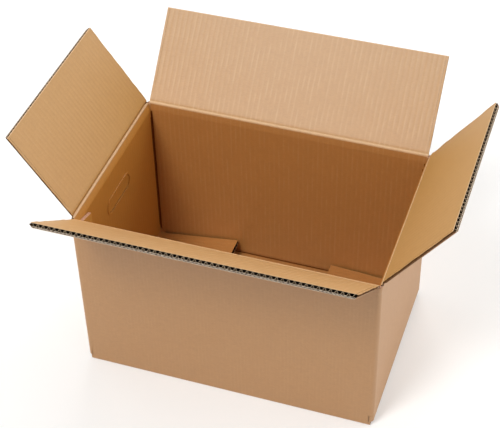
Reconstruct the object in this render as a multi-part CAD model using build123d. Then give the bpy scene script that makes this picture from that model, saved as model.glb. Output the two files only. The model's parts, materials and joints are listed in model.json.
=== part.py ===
import os
from math import cos, hypot, radians, sin, sqrt, tan

from build123d import *

os.makedirs("parts", exist_ok=True)

# A slotted box folded from one sheet of double-wall corrugated board.
# X runs along the long walls, Y across them from front to back, Z up from the floor. Millimetres and degrees.

# Outside of the four walls, and the fold that the end flaps turn on
box_length = 500.0
box_width = 327.0
end_crease_height = 312.0
corner_radius = 7.0

# The board, from outside: liner, small flute, liner, large flute, liner
board = 8.0
liner = 0.35
fluting_paper = 0.35
small_flute_height = 2.5
small_flute_pitch = 6.6
large_flute_pitch = 9.1
flute_reach = 30.0

# Folds of the top flaps: a rolled bead on the fold axis, with the board crushed to a wedge beside it
crease_inset = 2.0
bead_share = 0.9
fold_clearance = 0.4
flap_wedge_angle = 30.0
wall_wedge_angle = 15.0
shoulder_share = 0.6
closing_gap = 0.6
meeting_gap = 1.5
flap_side_gap = 0.5
long_flap_setback = 5.0
corner_slot_overcut = 1.0

# How far each top flap leans out from upright
front_lean_angle = 51.0
right_lean_angle = 36.5
back_lean_angle = 41.5
left_lean_angle = 35.0

# Bottom: long flaps flat underneath, end flaps sprung up a little on top of them
bottom_crease_radius = 4.0
bottom_layer_gap = 0.5
bottom_seam = 0.5
left_bottom_lift_angle = 8.0
right_bottom_lift_angle = 4.0

# Glued lap inside the front left corner
lap_width = 40.0
lap_thickness = 6.0
lap_end_angle = 15.0
lap_top_gap = 3.0
lap_floor_gap = 10.0

# Push-in hand hole in each end wall, cut on three sides and still closed
hand_length = 88.0
hand_height = 26.0
hand_drop = 74.0
hand_slit = 1.0

overrun = 2.0
quarter_turn_angle = 90.0

half_length = box_length / 2
half_width = box_width / 2
large_flute_height = board - 3 * liner - small_flute_height
bead_radius = bead_share * crease_inset

# Depth of each fold axis under the flap's inner face: the end flaps tuck between the long walls,
# and the long flaps close over them
end_fold_depth = board / 2
long_fold_depth = liner
end_ledge_height = end_crease_height - end_fold_depth - fold_clearance
long_crease_height = end_crease_height + board - end_fold_depth + closing_gap + long_fold_depth

stock_top = long_crease_height + board

# All flaps are cut to the same top and bottom lines of the sheet
long_flap_depth = half_width - crease_inset - meeting_gap / 2
end_flap_depth = long_flap_depth + long_crease_height - end_crease_height
long_flap_span = box_length - 2 * long_flap_setback
end_flap_span = box_width - 2 * (board + flap_side_gap)
bottom_flap_depth = half_width - bottom_seam / 2

# Quarter turns from the front wall, with each wall's distance from the middle of the box
front_wall = (0, half_width)
right_wall = (1, half_length)
back_wall = (2, half_width)
left_wall = (3, half_length)


def on_wall(wall):
    # A wall's own frame has X along the wall, Y inward from its outer face and Z up
    quarters, reach = wall
    return Rot(0, 0, quarters * quarter_turn_angle) * Pos(0, -reach, 0)


def along_wall(points, span):
    # A section given by (inward, up) points, run along the wall
    section = Plane.YZ * make_face(Polyline(*points, close=True))
    return extrude(section, amount=span / 2, both=True)


def rod_along_wall(inward, up, radius, span):
    return Pos(0, inward, up) * Rot(0, quarter_turn_angle, 0) * Cylinder(radius, span)


def flute_gaps(span, base, height, pitch):
    # Triangles left open under the crests and over the troughs of one fluted paper
    slope = hypot(pitch / 2, height)
    half_base = pitch / 2 - fluting_paper / 2 * slope / height
    rise = height - fluting_paper / 2 * slope / (pitch / 2)
    crests = int((span - 2 * liner) // pitch)
    first_crest = -(crests - 1) / 2 * pitch
    gaps = []
    for index in range(crests):
        crest = first_crest + index * pitch
        gaps.append([(crest - half_base, base), (crest + half_base, base), (crest, base + rise)])
    for index in range(crests - 1):
        trough = first_crest + index * pitch + pitch / 2
        top = base + height
        gaps.append([(trough - half_base, top), (trough, top - rise), (trough + half_base, top)])
    return gaps


def fluted_edge(span, inner_side):
    # End view of the board: its outline, open between the liners and the two fluted papers
    outer_side = inner_side - board
    side = span / 2
    outline = Wire.make_polygon([(-side, outer_side), (side, outer_side), (side, inner_side), (-side, inner_side)])
    small_base = outer_side + liner
    large_base = small_base + small_flute_height + liner
    gaps = flute_gaps(span, small_base, small_flute_height, small_flute_pitch)
    gaps += flute_gaps(span, large_base, large_flute_height, large_flute_pitch)
    return Face(outline, [Wire.make_polygon(gap) for gap in gaps])


def top_flap(span, depth, fold_depth):
    # Upright, with the fold axis on X: Y inward, Z away from the fold
    outer_side = fold_depth - board
    wedge_end = -outer_side / tan(radians(flap_wedge_angle))
    flutes_start = depth - flute_reach
    root = along_wall(
        [
            (0, 0),
            (fold_depth, fold_depth),
            (fold_depth, flutes_start),
            (outer_side, flutes_start),
            (outer_side, wedge_end),
        ],
        span,
    )
    edge = extrude(Pos(0, 0, flutes_start) * fluted_edge(span, fold_depth), amount=flute_reach)
    return root + edge + rod_along_wall(0, 0, bead_radius, span)


def placed_flap(wall, span, depth, crease_height, fold_depth, lean):
    fold = on_wall(wall) * Pos(0, crease_inset, crease_height) * Rot(lean, 0, 0)
    return fold * top_flap(span, depth, fold_depth)


def wall_top_waste(wall, span, crease_height, fold_depth, inner_overcut):
    # What is taken off the top of a wall: a wedge outside the fold, a groove for the bead,
    # a slope and a ledge for the closed flap, and a rounded shoulder
    wedge_foot = crease_height - crease_inset / tan(radians(wall_wedge_angle))
    ledge = crease_height - fold_depth - fold_clearance
    rounding = shoulder_share * (board - crease_inset - fold_depth)
    round_middle = rounding - rounding / sqrt(2)
    inner_limit = board + inner_overcut
    outline = (
        Polyline(
            (board, ledge - rounding),
            (inner_limit, ledge - rounding),
            (inner_limit, stock_top),
            (-overrun, stock_top),
            (-overrun, wedge_foot),
            (0, wedge_foot),
            (crease_inset, crease_height),
            (crease_inset, crease_height - fold_clearance),
            (crease_inset + fold_depth, ledge),
            (board - rounding, ledge),
        )
        + ThreePointArc(
            (board - rounding, ledge),
            (board - round_middle, ledge - round_middle),
            (board, ledge - rounding),
        )
    )
    waste = extrude(Plane.YZ * make_face(outline), amount=span / 2, both=True)
    waste += rod_along_wall(crease_inset, crease_height, bead_radius + fold_clearance, span)
    return on_wall(wall) * waste


def bottom_round_waste(wall, span, height):
    # The corner outside a bottom fold
    corner = Pos(0, bottom_crease_radius / 2, height + bottom_crease_radius / 2)
    corner *= Box(span, bottom_crease_radius, bottom_crease_radius)
    corner -= rod_along_wall(bottom_crease_radius, height + bottom_crease_radius, bottom_crease_radius, span)
    return on_wall(wall) * corner


def long_bottom_flap(wall):
    middle = board + (bottom_flap_depth - board) / 2
    flap = Pos(0, middle, board / 2) * Box(long_flap_span, bottom_flap_depth - board, board)
    return on_wall(wall) * flap


def end_bottom_flap(wall, lift):
    # Lies over the long bottom flaps, with its free edge sprung up by the stiff fold
    base = board + bottom_layer_gap
    run = cos(radians(lift))
    rise = sin(radians(lift))
    tip_inward = bottom_flap_depth * run
    tip_up = base + bottom_flap_depth * rise
    flap = along_wall(
        [
            (0, base),
            (tip_inward, tip_up),
            (tip_inward - board * rise, tip_up + board * run),
            (0, base + board / run),
        ],
        end_flap_span,
    )
    return on_wall(wall) * flap


def glued_lap():
    # A lap of the front wall, folded in and pressed flat against the left wall
    corner = half_width - board
    free_edge = corner - lap_width
    slant = lap_width * tan(radians(lap_end_angle))
    top = end_ledge_height - lap_top_gap
    bottom = 2 * board + bottom_layer_gap + lap_floor_gap
    face = make_face(
        Polyline((corner, bottom), (corner, top), (free_edge, top - slant), (free_edge, bottom + slant), close=True)
    )
    lap = extrude(Plane.XZ * face, amount=-lap_thickness)
    return on_wall(left_wall) * Pos(0, board, 0) * lap


def hand_hole_slit(wall):
    # The cut runs round the bottom and both ends, and the top stays as a fold
    slit = SlotOverall(hand_length, hand_height)
    slit -= SlotOverall(hand_length - 2 * hand_slit, hand_height - 2 * hand_slit)
    slit -= Pos(0, hand_height / 2) * Rectangle(hand_length - hand_height, hand_height)
    through = extrude(Plane.XZ * slit, amount=board + overrun, both=True)
    return on_wall(wall) * Pos(0, 0, end_crease_height - hand_drop) * through


def box_body():
    outside = RectangleRounded(box_length, box_width, corner_radius)
    inside = Rectangle(box_length - 2 * board, box_width - 2 * board)
    body = extrude(outside - inside, amount=stock_top)
    end_span = box_width - 2 * board
    for wall in (front_wall, back_wall):
        body -= wall_top_waste(wall, box_length + overrun, long_crease_height, long_fold_depth, overrun)
        body -= bottom_round_waste(wall, box_length + overrun, 0)
        body += long_bottom_flap(wall)
    for wall, lift in ((left_wall, left_bottom_lift_angle), (right_wall, right_bottom_lift_angle)):
        body -= wall_top_waste(wall, box_width + overrun, end_crease_height, end_fold_depth, corner_slot_overcut)
        end_foot = board + bottom_layer_gap
        body -= on_wall(wall) * Pos(0, 0, end_foot / 2) * Box(end_span, 2 * board, end_foot)
        body += end_bottom_flap(wall, lift)
        body -= bottom_round_waste(wall, end_span, end_foot)
        body -= hand_hole_slit(wall)
    return body + glued_lap()


end_flap_sizes = (end_flap_span, end_flap_depth, end_crease_height, end_fold_depth)
long_flap_sizes = (long_flap_span, long_flap_depth, long_crease_height, long_fold_depth)

nodes = {
    "box_body": box_body(),
    "front_flap": placed_flap(front_wall, *long_flap_sizes, front_lean_angle),
    "right_flap": placed_flap(right_wall, *end_flap_sizes, right_lean_angle),
    "back_flap": placed_flap(back_wall, *long_flap_sizes, back_lean_angle),
    "left_flap": placed_flap(left_wall, *end_flap_sizes, left_lean_angle),
}

for name, shape in nodes.items():
    export_step(shape, f"parts/{name}.step")
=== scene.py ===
import json
from math import cos, pi, radians, sin

import bmesh
import bpy
from mathutils import Matrix, Vector

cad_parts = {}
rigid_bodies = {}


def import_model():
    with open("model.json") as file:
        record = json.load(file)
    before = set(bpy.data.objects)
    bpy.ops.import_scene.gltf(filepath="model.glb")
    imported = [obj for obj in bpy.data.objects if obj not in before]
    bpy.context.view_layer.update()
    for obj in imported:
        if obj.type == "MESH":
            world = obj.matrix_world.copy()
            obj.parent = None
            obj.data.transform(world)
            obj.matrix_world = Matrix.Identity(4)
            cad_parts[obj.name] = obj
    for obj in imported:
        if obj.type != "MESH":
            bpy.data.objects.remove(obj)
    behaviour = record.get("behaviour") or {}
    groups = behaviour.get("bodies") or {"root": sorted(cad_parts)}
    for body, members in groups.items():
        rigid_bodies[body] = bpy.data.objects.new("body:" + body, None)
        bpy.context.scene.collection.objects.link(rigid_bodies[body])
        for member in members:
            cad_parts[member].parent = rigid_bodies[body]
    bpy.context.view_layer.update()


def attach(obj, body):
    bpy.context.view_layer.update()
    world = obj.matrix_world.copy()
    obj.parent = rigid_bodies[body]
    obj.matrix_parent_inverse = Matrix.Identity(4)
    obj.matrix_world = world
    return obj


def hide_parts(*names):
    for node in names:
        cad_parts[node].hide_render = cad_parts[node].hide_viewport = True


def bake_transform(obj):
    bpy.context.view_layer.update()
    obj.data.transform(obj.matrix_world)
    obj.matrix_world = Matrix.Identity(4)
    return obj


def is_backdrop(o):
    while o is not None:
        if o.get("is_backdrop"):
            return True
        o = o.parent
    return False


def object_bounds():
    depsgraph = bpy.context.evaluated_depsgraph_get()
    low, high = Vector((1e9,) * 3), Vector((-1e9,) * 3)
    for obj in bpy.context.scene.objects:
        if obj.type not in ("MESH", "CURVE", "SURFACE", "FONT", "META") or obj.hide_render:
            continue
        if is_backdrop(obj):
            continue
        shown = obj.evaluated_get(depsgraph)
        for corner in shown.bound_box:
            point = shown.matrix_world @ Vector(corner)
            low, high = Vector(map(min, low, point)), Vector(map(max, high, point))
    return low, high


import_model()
bpy.ops.object.select_all(action="DESELECT")  # the CAD nodes come in selected
print("frame loaded")


def mm(*values):
    metres = tuple(value / 1000 for value in values)
    return metres if len(metres) > 1 else metres[0]


# Materials

def linear(hexColour):
    channels = [int(hexColour[i:i + 2], 16) / 255 for i in (1, 3, 5)]
    return [c / 12.92 if c <= 0.04045 else ((c + 0.055) / 1.055) ** 2.4 for c in channels] + [1.0]


def addNode(tree, kind, settings, inputs, stops=()):
    node = tree.nodes.new(kind)
    for name, value in settings.items():
        setattr(node, name, value)
    for name, value in inputs.items():
        if isinstance(value, bpy.types.NodeSocket):
            tree.links.new(value, node.inputs[name])
        else:
            node.inputs[name].default_value = value
    colours = node.color_ramp.elements if stops else []
    while len(colours) < len(stops):
        colours.new(0.5)
    for colour, (place, hexColour) in zip(colours, stops):
        colour.position = place
        colour.color = linear(hexColour)
    return node


kraftLook = {
    "pale": "#c79657",
    "mid": "#c29153",
    "deep": "#bd8c4e",
    "fleck": "#8f6536",
    "crestHighlight": "#dab584",
    "cloudSize": 9,  # mm, the mottling of the pulp
    "cloudShare": 0.35,
    "patchWidth": 14,  # mm, a flute's painted highlight shows more or less in stretches of its own
    "patchLength": 30,
    "fibreLength": 6,  # mm, drawn a little coarse so that it shows
    "fibreWidth": 1.4,
    "fleckSize": 2.2,
    "roughness": 0.5,
    "specular": 1.0,
}
# The same paper on the other sides, its tone changed from side to side so that it carries painted light and
# shade: the inner walls and bottom flaps darker and more saturated as painted shade inside the box.
endFlapLook = dict(kraftLook, pale="#be8e49", mid="#b98945", deep="#b48441")
outsideLook = dict(kraftLook, pale="#ba8852", mid="#b5834e", deep="#b07f4a")
wallShadeLook = dict(kraftLook, pale="#b98042", mid="#b47b3e", deep="#af763a")
endWallShadeLook = dict(kraftLook, pale="#c88a30", mid="#c3852e", deep="#be802b")
bottomShadeLook = dict(kraftLook, pale="#c18440", mid="#bc7f3d", deep="#b77a39")
# Paler: a painted highlight on the folds' beads and along the flaps' free edges
foldHighlightLook = dict(kraftLook, pale="#e3bf94", mid="#dcb68a", deep="#d3ac7e", roughness=0.65, specular=0.6)


def kraftLiner(name, along, span, pitch, highlightShare, look=kraftLook):
    # Unbleached kraft paper, machine made: matt, mottled, with fibres across the flutes and flecks of bark.
    # Faint pale lines over the crests of the flutes are painted highlight.
    crests = round(span / pitch)
    material = bpy.data.materials.new(name)
    material.use_nodes = True
    tree = material.node_tree
    shader = tree.nodes["Principled BSDF"]
    place = addNode(tree, "ShaderNodeTexCoord", {}, {}).outputs["Object"]
    clouds = addNode(tree, "ShaderNodeTexNoise", {}, {
        "Vector": place, "Scale": 1 / mm(look["cloudSize"]), "Detail": 4.0, "Roughness": 0.6})
    stretch = [1.0, 1.0, 1.0]
    stretch["XYZ".index(along)] = look["fibreWidth"] / look["fibreLength"]
    laid = addNode(tree, "ShaderNodeMapping", {}, {"Vector": place, "Scale": stretch})
    fibres = addNode(tree, "ShaderNodeTexNoise", {}, {
        "Vector": laid.outputs["Vector"], "Scale": 1 / mm(look["fibreWidth"]),
        "Detail": 3.0, "Roughness": 0.65})
    pulp = addNode(tree, "ShaderNodeMix", {"data_type": "FLOAT"}, {
        "Factor": look["cloudShare"], "A": fibres.outputs["Fac"], "B": clouds.outputs["Fac"]})
    tone = addNode(
        tree, "ShaderNodeValToRGB", {}, {"Fac": pulp.outputs["Result"]},
        [(0.32, look["deep"]), (0.5, look["mid"]), (0.68, look["pale"])])
    flecks = addNode(tree, "ShaderNodeTexNoise", {}, {
        "Vector": laid.outputs["Vector"], "Scale": 1 / mm(look["fleckSize"]), "Detail": 2.0})
    bark = addNode(
        tree, "ShaderNodeValToRGB", {}, {"Fac": flecks.outputs["Fac"]},
        [(0.66, "#000000"), (0.78, "#5a5a5a")])
    flecked = addNode(tree, "ShaderNodeMix", {"data_type": "RGBA"}, {
        "Factor": bark.outputs["Color"], "A": tone.outputs["Color"], "B": linear(look["fleck"])})
    lines = addNode(tree, "ShaderNodeTexWave", {"bands_direction": along}, {
        "Vector": place, "Scale": pi / 10 / mm(span / crests), "Phase Offset": pi / 2 + pi * crests,
        "Distortion": 0.8, "Detail": 1.0, "Detail Scale": 0.3})
    drawn = [look["patchWidth"] / look["patchLength"]] * 3
    drawn["XYZ".index(along)] = 1.0
    stretches = addNode(tree, "ShaderNodeMapping", {}, {"Vector": place, "Scale": drawn})
    patches = addNode(tree, "ShaderNodeTexNoise", {}, {
        "Vector": stretches.outputs["Vector"], "Scale": 1 / mm(look["patchWidth"]), "Detail": 2.0})
    patchShare = addNode(tree, "ShaderNodeMapRange", {}, {
        "Value": patches.outputs["Fac"], "From Min": 0.36, "From Max": 0.66, "To Max": highlightShare})
    lineTone = addNode(tree, "ShaderNodeMapRange", {}, {
        "Value": lines.outputs["Fac"], "From Min": 0.6, "From Max": 1.0, "To Max": 1.0})
    lineShown = addNode(tree, "ShaderNodeMath", {"operation": "MULTIPLY"}, {
        0: lineTone.outputs["Result"], 1: patchShare.outputs["Result"]})
    lined = addNode(tree, "ShaderNodeMix", {"data_type": "RGBA"}, {
        "Factor": lineShown.outputs["Value"], "A": flecked.outputs["Result"], "B": linear(look["crestHighlight"])})
    tree.links.new(lined.outputs["Result"], shader.inputs["Base Color"])
    felt = addNode(tree, "ShaderNodeBump", {}, {
        "Strength": 0.25, "Distance": mm(0.12), "Height": fibres.outputs["Fac"]})
    tree.links.new(felt.outputs["Normal"], shader.inputs["Normal"])
    shader.inputs["Roughness"].default_value = look["roughness"]
    shader.inputs["IOR"].default_value = 1.5
    shader.inputs["Specular IOR Level"].default_value = look["specular"]
    return material


def rawPaper(name, pale, deep, grainSize):
    # Recycled paper without a finish, as on the flutes and where a knife has cut the board:
    # dull, fuzzy and blotchy
    material = bpy.data.materials.new(name)
    material.use_nodes = True
    tree = material.node_tree
    shader = tree.nodes["Principled BSDF"]
    place = addNode(tree, "ShaderNodeTexCoord", {}, {}).outputs["Object"]
    grain = addNode(tree, "ShaderNodeTexNoise", {}, {
        "Vector": place, "Scale": 1 / mm(grainSize), "Detail": 4.0, "Roughness": 0.7})
    tone = addNode(
        tree, "ShaderNodeValToRGB", {}, {"Fac": grain.outputs["Fac"]}, [(0.35, deep), (0.65, pale)])
    tree.links.new(tone.outputs["Color"], shader.inputs["Base Color"])
    fuzz = addNode(tree, "ShaderNodeBump", {}, {
        "Strength": 0.4, "Distance": mm(0.15), "Height": grain.outputs["Fac"]})
    tree.links.new(fuzz.outputs["Normal"], shader.inputs["Normal"])
    shader.inputs["Roughness"].default_value = 0.95
    shader.inputs["Specular IOR Level"].default_value = 0.05
    return material


flutes = {"large": 8.6, "small": 6.1}  # mm from crest to crest
spans = {"long": 490, "end": 310}  # mm, how wide the flaps are on the long and the end walls
longFlapInside = kraftLiner("kraft_liner_long_flap", "X", spans["long"], flutes["large"], 0.3)
longInside = kraftLiner("kraft_liner_long_inside", "X", spans["long"], flutes["large"], 0.12, wallShadeLook)
longOutside = kraftLiner("kraft_liner_long_outside", "X", spans["long"], flutes["small"], 0.06, outsideLook)
endFlapInside = kraftLiner("kraft_liner_end_flap", "Y", spans["end"], flutes["large"], 0.08, endFlapLook)
endInside = kraftLiner("kraft_liner_end_inside", "Y", spans["end"], flutes["large"], 0.08, endWallShadeLook)
endBottom = kraftLiner("kraft_liner_end_bottom", "Y", spans["end"], flutes["large"], 0.08, bottomShadeLook)
# Paler copies of the liner for the painted highlight on the folds' beads and the flaps' free edges
longFold = kraftLiner("kraft_liner_long_fold_highlight", "X", spans["long"], flutes["large"], 0.02, foldHighlightLook)
endFold = kraftLiner("kraft_liner_end_fold_highlight", "Y", spans["end"], flutes["large"], 0.02, foldHighlightLook)
endOutside = kraftLiner("kraft_liner_end_outside", "Y", spans["end"], flutes["small"], 0.06, outsideLook)
cutEdge = rawPaper("kraft_paper_cut", "#f2e6d6", "#dcc8ae", 1.5)
# A near-black copy of the fluting paper, whose own tone is fluting_paper_pale: painted shade on paper that
# lies in the flutes' hollows
flutingInShade = rawPaper("fluting_paper", "#1e140b", "#160e07", 3.0)
flutingPale = rawPaper("fluting_paper_pale", "#a98b68", "#8f7252", 2.0)
tornFluting = rawPaper("torn_fluting", "#b0906e", "#7d6048", 1.2)
largeCut = rawPaper("fluting_paper_cut", "#e0ccb0", "#c4ab8a", 1.5)
# A dark copy of the torn fluting: painted shade on the plugs behind the large flutes' cut edge
largeTornShade = rawPaper("torn_fluting_shaded", "#3f2e1e", "#2c1f14", 1.5)
# The crushed board at the side edges, darkened further as painted shade of the open flutes
crushedBoardAndShade = rawPaper("crushed_board_and_shade", "#7a5536", "#5e3f27", 4.0)
# Painted shade in the inner corner folds and the bottom folds' notches
creaseShade = rawPaper("corner_crease_shade", "#8a5426", "#74431b", 4.0)
# Painted deep shade, for cut board that lies in shade
deepShade = rawPaper("painted_deep_shade", "#4a2410", "#361808", 4.0)
lapCut = rawPaper("lap_cut", "#bd9379", "#9a7058", 2.0)
print("materials made")


# Making pieces

tolerance = 0.1  # mm, when parts of a mesh are picked by their place
sameLevel = 1e-5  # m
smoothAngle = radians(50)


def toObjectMode():
    if bpy.context.mode != "OBJECT":
        bpy.ops.object.mode_set(mode="OBJECT")


def workOn(piece):
    toObjectMode()
    bpy.ops.object.select_all(action="DESELECT")
    piece.select_set(True)
    bpy.context.view_layer.objects.active = piece


def pick(piece, test, kind="verts"):
    # Leaves the piece in edit mode with what passes the test selected
    workOn(piece)
    bpy.ops.object.mode_set(mode="EDIT")
    bpy.context.tool_settings.mesh_select_mode = (kind == "verts", kind == "edges", kind == "faces")
    bpy.ops.mesh.select_all(action="DESELECT")
    mesh = bmesh.from_edit_mesh(piece.data)
    for item in getattr(mesh, kind):
        if test(item):
            item.select_set(True)
    mesh.select_flush_mode()
    bmesh.update_edit_mesh(piece.data)


def applyModifier(piece, kind, **settings):
    workOn(piece)
    modifier = piece.modifiers.new(kind.lower(), kind)
    for name, value in settings.items():
        setattr(modifier, name, value)
    bpy.ops.object.modifier_apply(modifier=modifier.name)


def joinPieces(name, pieces):
    workOn(pieces[0])
    for piece in pieces:
        piece.select_set(True)
    bpy.ops.object.join()
    joined = bpy.context.object
    joined.name = name
    joined.data.name = name
    return joined


def faceTowards(piece, direction):
    total = sum((p.normal * p.area for p in piece.data.polygons), Vector())
    if total.dot(Vector(direction)) < 0:
        pick(piece, lambda face: True, "faces")
        bpy.ops.mesh.flip_normals()
        toObjectMode()


def setMaterials(piece, *materials):
    piece.data.materials.clear()
    for material in materials:
        piece.data.materials.append(material)


def edgeAlongX(name, span, columns):
    # A plane cut down to its near edge, which the section is then drawn out of
    toObjectMode()
    bpy.ops.object.select_all(action="DESELECT")
    bpy.ops.mesh.primitive_plane_add(size=mm(span))
    piece = bpy.context.object
    piece.name = name
    pick(piece, lambda vert: vert.co.y > 0)
    bpy.ops.mesh.delete(type="VERT")
    pick(piece, lambda vert: True)
    bpy.ops.transform.translate(value=(0, mm(span / 2), 0))
    # The subdivide tool stops at 100 cuts, so whole flutes come first and then their quarters
    quarters = 4 if columns % 4 == 0 else 1
    for parts in (columns // quarters, quarters):
        if parts > 1:
            bpy.ops.mesh.subdivide(number_cuts=parts - 1)
    return piece


def drawnSheet(name, span, columns, section):
    # A sheet over the span, following a section of (inward, up) points
    piece = edgeAlongX(name, span, columns)
    pick(piece, lambda vert: True)
    bpy.ops.transform.translate(value=(0, *mm(*section[0])))
    for here, there in zip(section, section[1:]):
        step = (0, mm(there[0] - here[0]), mm(there[1] - here[1]))
        bpy.ops.mesh.extrude_region_move(TRANSFORM_OT_translate={"value": step})
    toObjectMode()
    return piece


def washboard(piece, span, columns, height, keep):
    # Every fourth column stands over a flute's crest, and the ones between sink
    width = span / columns
    for turns, sink in (((0, 2), height), ((3,), 2 * height)):
        pick(piece, lambda vert: (
            round((vert.co.x * 1000 + span / 2) / width) % 4 in turns and keep(vert.co * 1000)))
        bpy.ops.transform.shrink_fatten(value=-mm(sink))
    toObjectMode()


def softened(points, rounds):
    # Cuts the corners of a section, keeping its ends
    for _ in range(rounds):
        cut = [points[0]]
        for (ax, ay), (bx, by) in zip(points, points[1:]):
            cut += [
                (0.75 * ax + 0.25 * bx, 0.75 * ay + 0.25 * by),
                (0.25 * ax + 0.75 * bx, 0.25 * ay + 0.75 * by)]
        points = cut + [points[-1]]
    return points


def leaned(side, reach, lean):
    # A point of a flap, given by its depth in the board and its distance from the fold
    turn = radians(lean)
    return (side * cos(turn) - reach * sin(turn), side * sin(turn) + reach * cos(turn))


def placeOnWall(piece, wall, inward=0, up=0, lean=0):
    # From the wall's own frame (X along it, Y inward from its outer face, Z up) to the box's
    quarters, distance = wall
    turn = Matrix.Rotation(quarters * pi / 2, 4, "Z")
    shift = Matrix.Translation(mm(0, inward - distance, up))
    workOn(piece)
    piece.matrix_world = turn @ shift @ Matrix.Rotation(radians(lean), 4, "X")
    bpy.ops.object.transform_apply(location=True, rotation=True, scale=True)


box = {
    "length": 500,
    "width": 327,
    "board": 8,
    "cornerRadius": 7,
    "cornerSegments": 6,
    "innerCorner": 2.4,  # where the inner liner starts to turn into a corner fold
    "innerSegments": 2,
    "cornerGroove": 1.2,  # how far that fold is driven into the board
    "wallFrom": 24,  # the walls' flat part, between the folds
    "wallTo": 298,
    "plainBand": 12,  # at the top and foot of a wall, where the flutes fade out
    "postTop": 312.5,
    "postFoot": 9,
    "postOverlap": 2,
    "crestHeight": 0.12,  # how far the flutes print through the liners
}
frontWall = (0, box["width"] / 2)
rightWall = (1, box["length"] / 2)
backWall = (2, box["width"] / 2)
leftWall = (3, box["length"] / 2)

boardLayers = {
    "liner": 0.3,
    "fluting": 0.36,
    "largeHeight": 4.9,
    "smallHeight": 1.7,
    "steps": 12,  # sides of one wave of fluted paper
    "crestSharpness": 2.3,  # over 1, the waves are narrower at the inner side
    "edgeSetback": 0.25,  # at the free edge
    "plugSetback": 0.8,
    "sideSetback": 5.0,  # at the side edges, where the knife tears the flutes
    "crush": (0.64, 0.5, 0.28, 0.08),  # share of the board pressed together at a side edge, column by column
    "ragged": 0.5,
    "wholeTip": 3,  # the liner isn't ragged this near to the free edge
    "stripSetback": (4.0, 0.5),  # where the crushed board starts behind a side edge, inside and outside
    "stripWidth": 1,
    # How far from the fold the parts of a flap start
    "crushFrom": 2,
    "printFrom": (18, 20),  # flutes that print through the inner and the outer liner
    "flutesFrom": 24,
}


def flutedPaper(name, span, pitch, height, side, start, end, upward, papers, plugSide):
    # One wave drawn out in steps from an edge that lies along the flute, then repeated over the span
    layers = boardLayers
    count = round(span / pitch)
    wave = span / count
    swing = (height - layers["fluting"]) / 2
    steps = layers["steps"]
    piece = edgeAlongX(name, end - start, 1)
    pick(piece, lambda vert: True)
    bpy.ops.transform.rotate(value=-pi / 2, orient_axis="Y", center_override=(0, 0, 0))
    rises = [
        ((1 + cos(2 * pi * index / steps)) / 2) ** layers["crestSharpness"] for index in range(steps + 1)]
    levels = [side + upward[1] * swing * (2 * rise - 1) for rise in rises]
    bpy.ops.transform.translate(value=mm(-span / 2, levels[0], (start + end) / 2))
    for here, there in zip(levels, levels[1:]):
        step = (mm(wave / steps), mm(there - here), 0)
        bpy.ops.mesh.extrude_region_move(TRANSFORM_OT_translate={"value": step})
    toObjectMode()
    applyModifier(
        piece, "ARRAY", count=count, use_relative_offset=False, use_constant_offset=True,
        constant_offset_displace=(mm(wave), 0, 0), use_merge_vertices=True, merge_threshold=mm(0.01))
    faceTowards(piece, upward)
    # The knife drags the flutes shut on their outer side, just behind the edge
    pick(piece, lambda vert: vert.co.z > mm(end - tolerance))
    bpy.ops.mesh.duplicate()
    bpy.ops.transform.translate(value=(0, 0, -mm(layers["plugSetback"])))
    bpy.ops.mesh.extrude_region_move(TRANSFORM_OT_translate={"value": (0, 0, 0)})
    bpy.ops.transform.resize(value=(1, 0, 1), center_override=(0, mm(plugSide), 0))
    bpy.ops.mesh.select_linked()
    bpy.ops.mesh.separate(type="SELECTED")
    toObjectMode()
    plug = next(other for other in bpy.context.selected_objects if other is not piece)
    faceTowards(plug, (0, 0, 1))
    setMaterials(plug, papers[3])
    setMaterials(piece, *papers[:3])
    applyModifier(
        piece, "SOLIDIFY", thickness=mm(layers["fluting"]), offset=0, material_offset=1,
        material_offset_rim=2)
    return joinPieces(name, [piece, plug])


def boardCore(name, span, innerSide, outerSide, start, end, largeEnds, smallEnds):
    # What lies between the two outer liners: large flute, middle liner, small flute
    layers = boardLayers
    towards = 1 if outerSide > innerSide else -1
    end -= layers["edgeSetback"]
    inside = span - 2 * layers["sideSetback"]
    under = layers["liner"] + 2 * box["crestHeight"]  # clear of the liner where it sinks between crests
    largeSide = innerSide + towards * (under + layers["largeHeight"] / 2)
    middleSide = largeSide + towards * (layers["largeHeight"] + layers["liner"]) / 2
    smallSide = middleSide + towards * (layers["liner"] + layers["smallHeight"]) / 2
    upward = (0, -towards, 0)
    # Each fluted paper's side that faces the inner liner is painted dark as shade in its hollows: near black
    # on the large flute, the crushed board's brown on the small one
    large = flutedPaper(
        name, inside, flutes["large"], layers["largeHeight"], largeSide, start, end, upward,
        (flutingInShade, flutingPale, *largeEnds), middleSide)
    small = flutedPaper(
        name, inside, flutes["small"], layers["smallHeight"], smallSide, start, end, upward,
        (crushedBoardAndShade, flutingPale, *smallEnds), smallSide + towards * layers["smallHeight"] / 2)
    middle = drawnSheet(name, inside, 2, [(middleSide, start), (middleSide, end)])
    setMaterials(middle, flutingPale, smallEnds[0])
    applyModifier(middle, "SOLIDIFY", thickness=mm(layers["liner"]), offset=0, material_offset_rim=1)
    return joinPieces(name, [large, small, middle])


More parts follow.
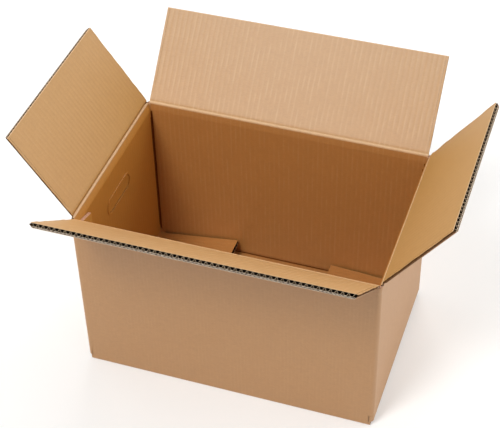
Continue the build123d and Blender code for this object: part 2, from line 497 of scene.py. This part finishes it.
def boardSheet(
        name, span, innerSection, outerSection, insideFace, outsideFace, innerKeep, outerKeep, crushKeep, up):
    # The two outer liners over a fold, with a strip set in at each end that closes the crushed board
    pitches = (
        (innerSection, flutes["large"], insideFace, innerKeep),
        (outerSection, flutes["small"], outsideFace, outerKeep))
    skins = []
    for section, pitch, finish, keep in pitches:
        columns = 4 * round(span / pitch)
        skin = drawnSheet(name, span, columns, section)
        # The inner liner's back, which faces into the large flutes, is painted near black as their shade
        setMaterials(skin, finish, flutingInShade if finish is insideFace else flutingPale, cutEdge)
        faceTowards(skin, up if finish is insideFace else [-part for part in up])
        washboard(skin, span, columns, box["crestHeight"], keep)
        skins.append(skin)
    crushSides(skins, span, crushKeep, up, innerSection[-1])
    ends = sideStrips(name, span, innerSection, outerSection, crushKeep, up)
    for skin, rim in zip(skins, (0, 2)):
        applyModifier(
            skin, "SOLIDIFY", thickness=mm(boardLayers["liner"]), offset=-1, material_offset=1,
            material_offset_rim=rim)
    return joinPieces(name, skins + ends)


def pressTogether(piece, test, share, up, innerPoint):
    # Moves what passes the test towards the board's inner face
    pick(piece, test)
    mesh = bmesh.from_edit_mesh(piece.data)
    inner = Vector(mm(0, *innerPoint)).dot(Vector(up))
    for vert in mesh.verts:
        if vert.select:
            vert.co += share * (inner - vert.co.dot(Vector(up))) * Vector(up)
    bmesh.update_edit_mesh(piece.data)
    toObjectMode()


def crushSides(skins, span, keep, up, innerPoint):
    # The slotting knife presses the board together: the outer liner comes up, the inner one is left ragged
    inside, outside = skins
    width = span / (4 * round(span / flutes["small"]))
    for column, share in enumerate(boardLayers["crush"]):
        place = span / 2 - column * width
        pressTogether(
            outside, lambda vert: abs(abs(vert.co.x * 1000) - place) < tolerance and keep(vert.co * 1000),
            share, up, innerPoint)
    # These pressed columns take the crushed board's colour, darkened as painted shade of the open flutes
    outside.data.materials.append(crushedBoardAndShade)
    for polygon in outside.data.polygons:
        if abs(polygon.center.x) > mm(span / 2 - 2 * width) and keep(polygon.center * 1000):
            polygon.material_index = len(outside.data.materials) - 1
    tip = Vector(mm(0, *innerPoint))
    pick(inside, lambda vert: (
        abs(vert.co.x * 1000) > span / 2 - tolerance and keep(vert.co * 1000)
        and abs(vert.co.z - tip.z) > mm(boardLayers["wholeTip"])))
    bpy.ops.transform.vertex_random(offset=mm(boardLayers["ragged"]), normal=1.0, seed=5)
    toObjectMode()


def sideStrips(name, span, innerSection, outerSection, keep, up):
    strips = []
    width = boardLayers["stripWidth"]
    for side in (-1, 1):
        pair = []
        for section, setback in zip((innerSection, outerSection), boardLayers["stripSetback"]):
            strip = drawnSheet(name, width, 1, section)
            pick(strip, lambda vert: vert.co.x > 0)
            bpy.ops.mesh.delete(type="VERT")
            pick(strip, lambda vert: True)
            bpy.ops.transform.translate(value=(mm(width / 2 + side * (span / 2 - setback)), 0, 0))
            if section is outerSection:
                pressTogether(
                    strip, lambda vert: keep(vert.co * 1000), boardLayers["crush"][0], up, innerSection[-1])
            toObjectMode()
            pair.append(strip)
        strip = joinPieces(name, pair)
        pick(strip, lambda edge: True, "edges")
        bpy.ops.mesh.bridge_edge_loops(number_cuts=1, interpolation="LINEAR")
        toObjectMode()
        faceTowards(strip, (side, 0, 0))
        # The strip is painted as shade: deep shade where it lies back under the inner liner, the crushed
        # board's dark brown at its outer edge
        setMaterials(strip, deepShade, crushedBoardAndShade)
        for polygon in strip.data.polygons:
            outermost = max(abs(strip.data.vertices[index].co.x) for index in polygon.vertices)
            polygon.material_index = 1 if outermost > mm(span / 2 - 1) else 0
        strips.append(strip)
    return strips


# Top flaps: lean in degrees, the rest in mm. A fold's section is given from the fold line.
endFlap = {
    "span": spans["end"],
    "depth": 165.7,
    "foldHeight": 312,
    "innerSide": 4,
    "beadAt": (-0.3, 0.4),
    "wallOutside": [(-2, -9), (-1.9, -6), (-1.1, -2.6), (-1.6, -0.4)],
    "flapOutside": [(-1.9, 1.4), (-2.6, 4), (-4, 7.5), (-4, 12)],
    "bend": 4,
    "insideFace": endFlapInside,
    "wallFace": endInside,
    "foldHighlightFace": endFold,
    "outsideFace": endOutside,
}
longFlap = {
    "span": spans["long"],
    "depth": 160.75,
    "foldHeight": 316.95,
    "innerSide": 0.35,
    "beadAt": (2.4, -3.4),
    "wallOutside": [(-2, -9), (-1.9, -6), (-1.1, -2.6), (-1.6, -0.4)],
    "flapOutside": [(-2.2, 2.0), (-4.3, 6.5), (-7.65, 13.6), (-7.65, 18)],
    "bend": 3.4,
    "insideFace": longFlapInside,
    "wallFace": longInside,
    "foldHighlightFace": longFold,
    "outsideFace": longOutside,
}
topFlaps = [
    ("front", frontWall, longFlap, 51.0),
    ("right", rightWall, endFlap, 36.5),
    ("back", backWall, longFlap, 41.5),
    ("left", leftWall, endFlap, 35.0),
]
creaseInset = 2  # mm from a wall's outer face to the fold line
rowsUp = list(range(26, 156, 10))  # mm from the fold, the rows of a flap's mesh
bead = {
    "radius": 1.9,
    "overTurn": 30,  # degrees that the liner turns on past the flap's lean
    "standOff": 0.4,
    # Share of the way out from the wall's inner face to the bead, and mm up from the bead
    "wallPart": [(0, -13.5), (0.12, -11), (0.6, -5), (0.92, -1.6)],
    # Share of the climb to the flap's inner face, and mm along the flap from the bead
    "flapPart": [(0, 2.6), (0.35, 3.8), (0.8, 5.2), (1, 7.5), (1, 16)],
    "highlightReach": 2.5,  # how far from its middle the bead carries a painted highlight
    "edgeHighlight": 1.3,  # a strip along the free edge, coloured pale as a painted highlight
}


def insideFold(flap, lean):
    # The inner liner leans out at the top of the wall, turns over a bead near the fold line
    # and rises to the flap's face
    face = box["board"] - creaseInset
    inward, up = flap["beadAt"]
    turn = radians(lean)
    leanOut = face - inward - bead["radius"]
    wallPart = [(face - share * leanOut, up + below) for share, below in bead["wallPart"]]
    angles = [0, turn / 2, turn + radians(bead["overTurn"])]
    beadPart = [(inward + bead["radius"] * cos(angle), up + bead["radius"] * sin(angle)) for angle in angles]
    side = inward * cos(turn) + up * sin(turn) + bead["standOff"]
    reach = up * cos(turn) - inward * sin(turn)
    climb = flap["innerSide"] - side
    flapPart = [
        leaned(side + share * climb, reach + along, lean)
        for share, along in bead["flapPart"]]
    return wallPart + beadPart + flapPart


def paintFold(sheet, flap, along, hasBeadHighlight):
    # The wall's own finish under the bead, and a painted highlight on the bead and along the free edge
    middle = Vector(mm(*flap["beadAt"]))
    faces = [polygon for polygon in sheet.data.polygons if polygon.material_index == 0]
    first = len(sheet.data.materials)
    sheet.data.materials.append(flap["wallFace"])
    sheet.data.materials.append(flap["foldHighlightFace"])
    for polygon in faces:
        isEdgeHighlight = polygon.center.dot(along) > mm(flap["depth"] - bead["edgeHighlight"])
        if isEdgeHighlight or hasBeadHighlight and (Vector(polygon.center[1:]) - middle).length < mm(bead["highlightReach"]):
            polygon.material_index = first + 1
        elif polygon.center.z < middle.y:
            polygon.material_index = first


def outsideFold(flap, lean):
    return flap["wallOutside"] + [leaned(*point, lean) for point in flap["flapOutside"]]


for side, wall, flap, lean in topFlaps:
    body = side + "_flap"
    outerSide = flap["innerSide"] - box["board"]
    foot = box["wallTo"] - flap["foldHeight"]
    reaches = rowsUp + [flap["depth"] - bead["edgeHighlight"], flap["depth"]]
    sections = []
    for fold, wallFace, face in (
            (insideFold(flap, lean), box["board"] - creaseInset, flap["innerSide"]),
            (outsideFold(flap, lean), -creaseInset, outerSide)):
        rows = [leaned(face, reach, lean) for reach in reaches]
        sections.append([(wallFace, foot)] + softened(fold, 2) + rows)
    turn = radians(lean)
    along = Vector((0, -sin(turn), cos(turn)))
    sheet = boardSheet(
        side + "FlapSheet", flap["span"], *sections, flap["insideFace"], flap["outsideFace"],
        lambda co: co.dot(along) > boardLayers["printFrom"][0],
        lambda co: co.dot(along) > boardLayers["printFrom"][1],
        lambda co: co.dot(along) > boardLayers["crushFrom"],
        (0, cos(turn), sin(turn)))
    paintFold(sheet, flap, along, side != "front")
    placeOnWall(sheet, wall, creaseInset, flap["foldHeight"])
    core = boardCore(
        side + "FlapFlutes", flap["span"], flap["innerSide"], outerSide, boardLayers["flutesFrom"],
        flap["depth"], (largeCut, largeTornShade), (cutEdge, tornFluting))
    placeOnWall(core, wall, creaseInset, flap["foldHeight"], lean)
    for piece in (sheet, core):
        workOn(piece)
        bpy.ops.object.shade_smooth_by_angle(angle=smoothAngle)
    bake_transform(sheet)
    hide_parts(body)
    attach(core, body)
    print(side, "flap made", len(sheet.data.polygons), len(core.data.polygons))


# Walls

def wallTube(name, length, width, cornerRadius, segments, pitch, finishes, outward):
    inward = 1 if outward else -1
    low, high = box["wallFrom"], box["wallTo"]
    toObjectMode()
    bpy.ops.object.select_all(action="DESELECT")
    bpy.ops.mesh.primitive_cube_add(
        size=1, location=(0, 0, mm((low + high) / 2)), scale=mm(length, width, high - low))
    tube = bpy.context.object
    tube.name = name
    bpy.ops.object.transform_apply(location=True, rotation=True, scale=True)
    pick(tube, lambda face: abs(face.normal.z) > 0.5, "faces")
    bpy.ops.mesh.delete(type="ONLY_FACE")
    pick(tube, lambda edge: abs(edge.verts[0].co.z - edge.verts[1].co.z) > 0.01, "edges")
    bpy.ops.mesh.bevel(offset=mm(cornerRadius), segments=segments, affect="EDGES")
    for level in (low + box["plainBand"], high - box["plainBand"]):
        pick(tube, lambda edge: True, "edges")
        bpy.ops.mesh.bisect(plane_co=(0, 0, mm(level)), plane_no=(0, 0, 1))
    for axis, wallLength in ((0, length), (1, width)):
        flat = wallLength - 2 * cornerRadius
        columns = 4 * round(flat / pitch)
        for sign in (-1, 1):
            pick(tube, lambda edge: edgeOnWall(edge, axis, sign), "edges")
            bpy.ops.mesh.subdivide_edgering(number_cuts=columns - 1, interpolation="LINEAR")
            for turns, sink in (((0, 2), 1), ((3,), 2)):
                pick(tube, lambda vert: vertOnWall(vert, axis, sign, flat, columns, turns, low, high))
                bpy.ops.transform.shrink_fatten(value=-inward * sink * mm(box["crestHeight"]))
    toObjectMode()
    setMaterials(tube, *finishes)
    for polygon in tube.data.polygons:
        polygon.material_index = 0 if abs(polygon.normal.y) > abs(polygon.normal.x) else 1
    if not outward:
        driveCorners(tube, length / 2, width / 2)
        pick(tube, lambda face: True, "faces")
        bpy.ops.mesh.flip_normals()
        toObjectMode()
    return tube


def driveCorners(tube, reachX, reachY):
    # The middle edge of each corner goes past the corner, so that the fold shows as a groove. Its faces are
    # coloured dark as painted shade.
    for signX in (-1, 1):
        for signY in (-1, 1):
            pick(tube, lambda vert: (
                mm(reachX - box["innerCorner"] + 0.5) < vert.co.x * signX < mm(reachX - tolerance)
                and mm(reachY - box["innerCorner"] + 0.5) < vert.co.y * signY < mm(reachY - tolerance)))
            drive = mm(box["cornerGroove"] + box["innerCorner"] * (1 - 0.5 ** 0.5))
            bpy.ops.transform.translate(value=(signX * drive, signY * drive, 0))
    toObjectMode()
    for polygon in tube.data.polygons:
        if min(abs(polygon.normal.x), abs(polygon.normal.y)) > 0.1:
            polygon.material_index = 2


def edgeOnWall(edge, axis, sign):
    # A level edge that runs the whole length of one wall
    one, two = (vert.co for vert in edge.verts)
    return abs(one.z - two.z) < sameLevel and abs(one[axis] - two[axis]) > 0.1 and one[1 - axis] * sign > 0


def vertOnWall(vert, axis, sign, flat, columns, turns, low, high):
    level = vert.co.z * 1000
    margin = box["plainBand"] / 2
    if vert.co[1 - axis] * sign < 0 or not low + margin < level < high - margin:
        return False
    column = (vert.co[axis] * 1000 + flat / 2) / (flat / columns)
    return 0 < round(column) < columns and round(column) % 4 in turns and abs(column - round(column)) < 0.02


outerTube = wallTube(
    "boxSheet", box["length"], box["width"], box["cornerRadius"], box["cornerSegments"], flutes["small"],
    [longOutside, endOutside], True)
innerTube = wallTube(
    "boxSheet", box["length"] - 2 * box["board"], box["width"] - 2 * box["board"], box["innerCorner"],
    box["innerSegments"], flutes["large"], [longInside, endInside, creaseShade], False)
walls = joinPieces("boxSheet", [outerTube, innerTube])
for level in (box["wallFrom"], box["wallTo"]):
    pick(walls, lambda edge: all(abs(vert.co.z - mm(level)) < sameLevel for vert in edge.verts), "edges")
    bpy.ops.mesh.bridge_edge_loops()
pick(walls, lambda face: True, "faces")
bpy.ops.mesh.normals_make_consistent(inside=False)
toObjectMode()
print("walls made", len(walls.data.polygons))


# Push-in hand holes in the end walls: cut on three sides, still closed, with the liner raised along the cut
handHole = {
    "length": 88,
    "height": 26,
    "up": 238,
    "slit": 1.0,
    "hinge": 2,  # at the top, which stays uncut
    "lipWidth": 4,
    "lipHeight": 1.1,
    "lipRounding": 0.95,
    "roundSteps": 10,
    "roundShare": 0.998,  # of half the height, so that the rounded corners don't quite meet
}


def roundEndedRing(name, length, height, width):
    # An upright plate with round ends, cut out to a ring of the given width
    toObjectMode()
    bpy.ops.object.select_all(action="DESELECT")
    bpy.ops.mesh.primitive_plane_add(size=1, rotation=(pi / 2, 0, 0))
    ring = bpy.context.object
    ring.name = name
    bpy.ops.object.transform_apply(location=True, rotation=True, scale=True)
    pick(ring, lambda vert: True)
    bpy.ops.transform.resize(value=mm(length, 1, height))
    bpy.ops.mesh.bevel(
        offset=mm(height / 2 * handHole["roundShare"]), segments=handHole["roundSteps"], affect="VERTICES")
    pick(ring, lambda face: True, "faces")
    bpy.ops.mesh.inset(thickness=mm(width))
    pick(ring, lambda face: face.calc_center_median().length < mm(1), "faces")
    bpy.ops.mesh.delete(type="FACE")
    toObjectMode()
    return ring


def handHoleCutter(wall):
    cutter = roundEndedRing("handHoleCutter", handHole["length"], handHole["height"], handHole["slit"])
    uncut = mm(handHole["height"] / 2 - handHole["hinge"])
    pick(cutter, lambda face: face.calc_center_median().z > uncut, "faces")
    bpy.ops.mesh.delete(type="FACE")
    toObjectMode()
    # The slit's sides are painted near black as the shade inside the cut
    setMaterials(cutter, flutingInShade)
    applyModifier(cutter, "SOLIDIFY", thickness=mm(4 * box["board"]), offset=0)
    placeOnWall(cutter, wall, 0, handHole["up"])
    return cutter


def handHoleLip(wall):
    grown = 2 * handHole["lipWidth"]
    lip = roundEndedRing(
        "boxSheet", handHole["length"] + grown, handHole["height"] + grown, handHole["lipWidth"])
    setMaterials(lip, endInside)
    applyModifier(lip, "SOLIDIFY", thickness=mm(2 * handHole["lipHeight"]), offset=0)
    rounding = mm(handHole["lipHeight"] * handHole["lipRounding"])
    applyModifier(lip, "BEVEL", width=rounding, segments=3, limit_method="ANGLE")
    placeOnWall(lip, wall, box["board"], handHole["up"])
    return lip


lips = []
for wall in (leftWall, rightWall):
    cutter = handHoleCutter(wall)
    applyModifier(
        walls, "BOOLEAN", object=cutter, operation="DIFFERENCE", solver="MANIFOLD", material_mode="TRANSFER")
    bpy.data.objects.remove(cutter)
    lips.append(handHoleLip(wall))
walls = joinPieces("boxSheet", [walls] + lips)
print("hand holes cut", len(walls.data.polygons))

# Corner posts, where the slots between the flaps end
cornerPost = {"reach": 8, "segments": 5, "edge": 0.5}


def cornerPostPiece(name, low, high):
    reach = cornerPost["reach"]
    toObjectMode()
    bpy.ops.object.select_all(action="DESELECT")
    bpy.ops.mesh.primitive_cube_add(
        size=1, location=mm(box["length"] / 2 - reach / 2, box["width"] / 2 - reach / 2, (low + high) / 2),
        scale=mm(reach, reach, high - low))
    post = bpy.context.object
    post.name = name
    bpy.ops.object.transform_apply(location=True, rotation=True, scale=True)
    pick(post, lambda edge: all(
        vert.co.x > mm(box["length"] / 2 - 1) and vert.co.y > mm(box["width"] / 2 - 1)
        for vert in edge.verts), "edges")
    bpy.ops.mesh.bevel(offset=mm(box["cornerRadius"]), segments=cornerPost["segments"], affect="EDGES")
    pick(post, lambda edge: abs(edge.verts[0].co.z - edge.verts[1].co.z) < sameLevel, "edges")
    bpy.ops.mesh.bevel(offset=mm(cornerPost["edge"]), segments=2, affect="EDGES")
    toObjectMode()
    setMaterials(post, longOutside, lapCut)
    for polygon in post.data.polygons:
        polygon.material_index = 1 if abs(polygon.normal.z) > 0.5 else 0
    return post


posts = []
for low, high in (
        (box["wallTo"] - box["postOverlap"], box["postTop"]),
        (box["postFoot"], box["wallFrom"] + box["postOverlap"])):
    first = cornerPostPiece("boxSheet", low, high)
    applyModifier(first, "MIRROR", use_axis=(True, True, False))
    posts.append(first)
walls = joinPieces("boxSheet", [walls] + posts)

# Bottom: long flaps flat underneath, end flaps sprung up on top of them
bottom = {
    "layerGap": 0.5,
    "seam": 0.5,
    "endSpan": spans["end"],
    "endTaper": 0.978,  # the flaps are slotted narrower than the wall, and leave a dark gap beside them
    "longSpan": spans["long"],
    "notch": 1.4,  # the sharp inner side of a fold, coloured dark as painted shade
    "longFold": 15,  # how far a long flap's fold reaches up and inward
    "longRound": 7,
    "longFlat": 40,  # from here a long flap is flat
    "longPrint": 30,  # and from here its flutes print through
    "endFold": 21,
    "endRound": 8,
    "endPrint": 18,
    "taperFrom": 16,
    "endRows": [22, 60, 110],
    "leftLift": 8.0,
    "rightLift": 4.0,
}


def longBottomFlap(wall):
    board = box["board"]
    free = box["width"] / 2 - bottom["seam"] / 2
    notch = bottom["notch"]
    fold, bend, flat = bottom["longFold"], bottom["longRound"], bottom["longFlat"]
    inside = [
        (board, fold), (board, board + notch), (board - notch, board - notch / 2),
        (board + notch, board), (fold, board)]
    outside = softened([(bend, 0), (0, 0), (0, bend)], 3)
    freeEdge = [(free - 1, board), (free, board - 0.5), (free, 0.5), (free - 1, 0)]
    section = [(board, box["wallFrom"])] + inside + [(flat, board)] + freeEdge + [(flat, 0)]
    section += outside + [(0, box["wallFrom"])]
    columns = 4 * round(bottom["longSpan"] / flutes["large"])
    flap = drawnSheet("boxSheet", bottom["longSpan"], columns, section)
    for sign in (-1, 1):
        pick(flap, lambda edge: all(
            vert.co.x * sign > mm(bottom["longSpan"] / 2 - tolerance) for vert in edge.verts), "edges")
        bpy.ops.mesh.edge_face_add()
    pick(flap, lambda face: True, "faces")
    bpy.ops.mesh.normals_make_consistent(inside=False)
    toObjectMode()
    setMaterials(flap, longInside, longOutside, tornFluting, creaseShade)
    for polygon in flap.data.polygons:
        if (Vector(polygon.center[1:]) - Vector(mm(board, board))).length < mm(notch):
            polygon.material_index = 3
        elif abs(polygon.normal.x) > 0.5 or polygon.center.y > mm(free - 0.4):
            polygon.material_index = 2
        else:
            polygon.material_index = 0 if polygon.normal.z > 0.3 or polygon.normal.y > 0.5 else 1
    washboard(
        flap, bottom["longSpan"], columns, box["crestHeight"],
        lambda co: bottom["longPrint"] < co.y < free - 0.5)
    placeOnWall(flap, wall)
    return flap


def endBottomFlap(name, wall, lift):
    board = box["board"]
    base = board + bottom["layerGap"]
    depth = box["width"] / 2 - bottom["seam"] / 2
    lean = lift - 90  # the flap lies inward from its fold, with its inner liner on top

    def place(side, reach):
        inward, up = leaned(side, reach, lean)
        return (inward, base + up)

    def pastFold(co):
        return co.y > bottom["endPrint"]

    fold, bend = bottom["endFold"], bottom["endRound"]
    inside = softened([(board, fold), (board, base + board + 1.5), place(-board, board + 6)], 2)
    outside = softened([(0, base + bend), (0, base), place(0, bend)], 3)
    reaches = bottom["endRows"] + [depth]
    sections = (
        [(board, box["wallFrom"])] + inside + [place(-board, reach) for reach in reaches],
        [(0, box["wallFrom"])] + outside + [place(0, reach) for reach in reaches])
    upward = (0, -sin(radians(lift)), cos(radians(lift)))
    sheet = boardSheet(
        name, bottom["endSpan"], *sections, endBottom, endOutside, pastFold, pastFold, pastFold, upward)
    pick(sheet, lambda vert: vert.co.y > mm(bottom["taperFrom"]))
    bpy.ops.transform.resize(value=(bottom["endTaper"], 1, 1), center_override=(0, 0, 0))
    # The bottom flaps' cut flutes are painted all in deep shade
    core = boardCore(
        name, bottom["endSpan"] * bottom["endTaper"], -board, 0, boardLayers["flutesFrom"], depth,
        (deepShade, deepShade), (deepShade, deepShade))
    placeOnWall(core, wall, 0, base, lean)
    placeOnWall(sheet, wall)
    return joinPieces(name, [sheet, core])


bottomPieces = [longBottomFlap(frontWall), longBottomFlap(backWall)]
bottomPieces += [
    endBottomFlap("boxSheet", leftWall, bottom["leftLift"]),
    endBottomFlap("boxSheet", rightWall, bottom["rightLift"]),
]
print("bottom made")

# Glued lap inside the front left corner
lap = {"width": 40, "thickness": 6, "slant": 10.7, "top": 304.6, "foot": 26.5, "edge": 0.6}


def gluedLap():
    board = box["board"]
    corner = box["width"] / 2 - board
    low, high = lap["foot"], lap["top"]
    toObjectMode()
    bpy.ops.object.select_all(action="DESELECT")
    bpy.ops.mesh.primitive_cube_add(
        size=1, location=mm(corner - lap["width"] / 2, board + lap["thickness"] / 2, (low + high) / 2),
        scale=mm(lap["width"], lap["thickness"], high - low))
    piece = bpy.context.object
    bpy.ops.object.transform_apply(location=True, rotation=True, scale=True)
    for isTop, way in ((True, -1), (False, 1)):
        pick(piece, lambda vert: (
            vert.co.x < mm(corner - lap["width"] / 2) and (vert.co.z > mm((low + high) / 2)) == isTop))
        bpy.ops.transform.translate(value=(0, 0, way * mm(lap["slant"])))
    pick(piece, lambda edge: True, "edges")
    bpy.ops.mesh.bevel(offset=mm(lap["edge"]), segments=2, affect="EDGES")
    toObjectMode()
    setMaterials(piece, endInside, lapCut)
    for polygon in piece.data.polygons:
        polygon.material_index = 0 if abs(polygon.normal.y) > 0.6 else 1
    placeOnWall(piece, leftWall)
    return piece


boxSheet = joinPieces("boxSheet", [walls] + bottomPieces + [gluedLap()])
workOn(boxSheet)
bpy.ops.object.shade_smooth_by_angle(angle=smoothAngle)
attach(boxSheet, "box_body")
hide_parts("box_body")
print("box sheet made", len(boxSheet.data.polygons))

# Floor, light and camera
studio = {
    "floorSize": 30,
    "floor": "#dddddc",
    "floorRoughness": 0.9,
    "floorGlow": 0.37,  # a light table, as under a cut-out picture
    "sky": 0.12,
    "target": (0, 0, 0.25),
    "distance": 4.0,  # m, from the box to each panel
    # Soft panels: degrees from the front and above the floor, width and height in m,
    # light that falls on the box
    "panels": {
        "key": (-22, 49, 1.3, 1.3, 1.235),
        "keySteep": (-22, 58, 1.1, 1.1, 0.89),
        "back": (180, 15, 6.0, 2.0, 0.79),
        "backHigh": (180, 45, 3.0, 2.0, 1.615),
        "right": (112, 18, 3.0, 2.0, 1.26),
        "rightHigh": (67, 42, 2.4, 2.0, 0.43),
        "leftBack": (-112, 11, 3.0, 1.4, 0.95),
    },
}
bpy.ops.object.select_all(action="DESELECT")
bpy.ops.mesh.primitive_plane_add(size=studio["floorSize"])
floor = bpy.context.object
floor.name = "studioFloor"
paper = bpy.data.materials.new("studio_paper")
paper.use_nodes = True
paperShader = paper.node_tree.nodes["Principled BSDF"]
paperShader.inputs["Base Color"].default_value = linear(studio["floor"])
paperShader.inputs["Roughness"].default_value = studio["floorRoughness"]
paperShader.inputs["Emission Color"].default_value = linear(studio["floor"])
paperShader.inputs["Emission Strength"].default_value = studio["floorGlow"]
floor.data.materials.append(paper)
floor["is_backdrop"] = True

world = bpy.data.worlds.new("studioSky")
world.use_nodes = True
world.node_tree.nodes["Background"].inputs["Color"].default_value = (1, 1, 1, 1)
world.node_tree.nodes["Background"].inputs["Strength"].default_value = studio["sky"]
bpy.context.scene.world = world
for name, (azimuth, elevation, width, height, strength) in studio["panels"].items():
    turn, rise = radians(azimuth), radians(elevation)
    towards = Vector((sin(turn) * cos(rise), -cos(turn) * cos(rise), sin(rise)))
    lamp = bpy.data.lights.new(name + "Panel", "AREA")
    lamp.shape = "RECTANGLE"
    lamp.size = width
    lamp.size_y = height
    lamp.energy = pi * studio["distance"] ** 2 * strength
    holder = bpy.data.objects.new(name + "Panel", lamp)
    bpy.context.scene.collection.objects.link(holder)
    holder.location = Vector(studio["target"]) + studio["distance"] * towards
    holder.rotation_euler = (-towards).to_track_quat("-Z", "Y").to_euler()
    holder.visible_camera = False

view = {
    "place": (543.1, -1550.2, 1716.5),  # mm
    "yaw": -18.82,
    "pitch": -42.75,
    "roll": -0.93,
    "lens": 97.5,
    "sensor": 36,
    "clip": 50,  # m
    "shiftX": -0.03,
    "shiftY": 0.052,
}
yaw, pitch, roll = (radians(view[name]) for name in ("yaw", "pitch", "roll"))
ahead = Vector((sin(yaw) * cos(pitch), cos(yaw) * cos(pitch), sin(pitch)))
level = Vector((cos(yaw), -sin(yaw), 0))
upright = level.cross(ahead)
across = cos(roll) * level + sin(roll) * upright
above = cos(roll) * upright - sin(roll) * level
camera = bpy.data.objects.new("photoCamera", bpy.data.cameras.new("photoCamera"))
bpy.context.scene.collection.objects.link(camera)
axes = Matrix((across, above, -ahead)).transposed().to_4x4()
camera.matrix_world = Matrix.Translation(mm(*view["place"])) @ axes
camera.data.sensor_width = view["sensor"]
camera.data.lens = view["lens"]
camera.data.shift_x = view["shiftX"]
camera.data.shift_y = view["shiftY"]
camera.data.clip_end = view["clip"]
bpy.context.scene.camera = camera
bpy.context.scene.view_settings.view_transform = "Standard"
print("studio made")

low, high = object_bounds()
